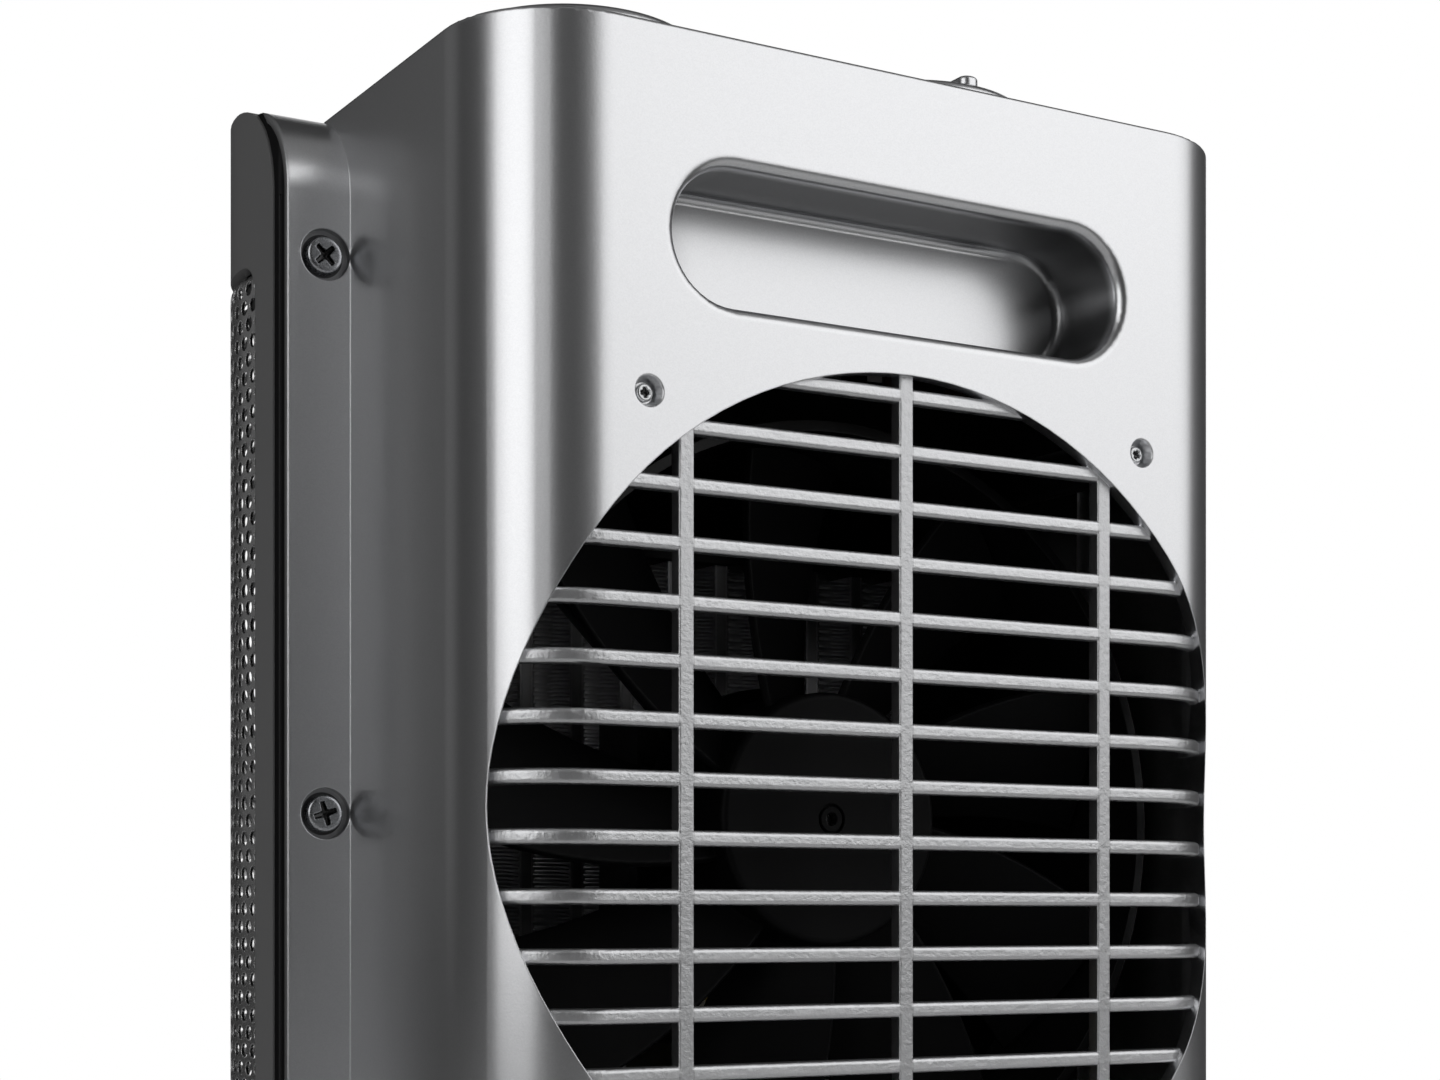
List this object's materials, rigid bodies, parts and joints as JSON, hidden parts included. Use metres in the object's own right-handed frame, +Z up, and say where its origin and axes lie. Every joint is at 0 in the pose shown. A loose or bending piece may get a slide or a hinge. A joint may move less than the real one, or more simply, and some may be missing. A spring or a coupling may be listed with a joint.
{
  "type": "fan heater",
  "caption": "Upright free-standing fan heater with a round moulded inlet grille, a recessed handle, a wrap-round perforated front and rotary knobs on top.",
  "frame": {"origin": "on the floor, under the middle of the bounding box", "axes": "+Z up, +Y towards the rear wall with the inlet grille, the warm air leaves towards -Y, +X to the right seen from the front"},
  "size_m": [0.1916, 0.123, 0.2922],
  "materials": {
    "silver_paint": "satin metallic silver paint with a fine sparkle",
    "silver_knob": "satin metallic silver",
    "black_plastic": "satin moulded black",
    "dark_cover": "matte dark grey with a fine texture",
    "mesh_steel": "perforated steel, dark enamel",
    "retainer_plastic": "plain moulded black",
    "zinc_screw": "bright zinc plated",
    "black_screw": "blackened steel",
    "fan_plastic": "glossy moulded black",
    "shaft_steel": "ground steel",
    "lamination": "stamped electrical steel, stacked sheets",
    "rotor_steel": "cast cage in stacked sheets",
    "bobbin_plastic": "natural nylon",
    "coil_tape": "wound wire under yellow tape",
    "zinc_sheet": "zinc plated pressed steel",
    "bronze": "sintered bronze",
    "heat_plastic": "heat resistant moulding",
    "fin_aluminium": "thin folded sheet",
    "bar_aluminium": "flat extruded tube",
    "terminal_brass": "stamped and tinned",
    "cutout_steel": "pressed cap with a phenolic body",
    "phenolic": "brown phenolic",
    "foot_rubber": "matte black",
    "gland_rubber": "matte black",
    "ceramic_block": "cream polyamide"
  },
  "bodies": {
    "heater_body": {"rear_housing": "silver_paint", "mid_frame": "black_plastic", "front_cover": "dark_cover", "front_mesh": "mesh_steel", "upper_mesh_retainer": "retainer_plastic", "lower_mesh_retainer": "retainer_plastic", "flange_screws": "zinc_screw", "rear_wall_screws": "black_screw", "mesh_screws": "black_screw", "fan_shroud": "black_plastic", "motor_stator": "lamination", "coil_bobbin": "bobbin_plastic", "coil_winding": "coil_tape", "rear_motor_bracket": "zinc_sheet", "front_motor_bracket": "zinc_sheet", "shaft_bushes": "bronze", "motor_screws": "zinc_screw", "heater_frame": "heat_plastic", "heater_fins": "fin_aluminium", "ptc_bars": "bar_aluminium", "heater_terminals": "terminal_brass", "heater_screws": "zinc_screw", "cutout_bracket": "zinc_sheet", "thermal_cutout": "cutout_steel", "control_plate": "zinc_sheet", "control_screws": "zinc_screw", "thermostat_body": "phenolic", "switch_body": "phenolic", "rubber_feet": "foot_rubber", "cord_gland": "gland_rubber", "cord_clamp": "black_plastic", "terminal_block": "ceramic_block", "inlet_screws": "zinc_screw"},
    "fan": {"fan_impeller": "fan_plastic", "fan_lock_ring": "zinc_sheet", "motor_shaft": "shaft_steel", "motor_rotor": "rotor_steel"},
    "thermostat_dial": {"thermostat_knob": "silver_knob", "thermostat_spindle": "shaft_steel"},
    "function_dial": {"function_knob": "silver_knob", "switch_spindle": "shaft_steel"}
  },
  "joints": [
    {"name": "fan_spin", "type": "hinge", "parent": "heater_body", "child": "fan", "pos_m": [0, 0.03, 0.1393], "axis": [0, 1, 0], "continuous": true},
    {"name": "thermostat_turn", "type": "hinge", "parent": "heater_body", "child": "thermostat_dial", "pos_m": [0.0398, 0.0026, 0.2746], "axis": [0, 0, 1], "range_deg": [-210, 60]},
    {"name": "function_turn", "type": "hinge", "parent": "heater_body", "child": "function_dial", "pos_m": [-0.0398, 0.0026, 0.2746], "axis": [0, 0, 1], "range_deg": [-135, 0]}
  ]
}
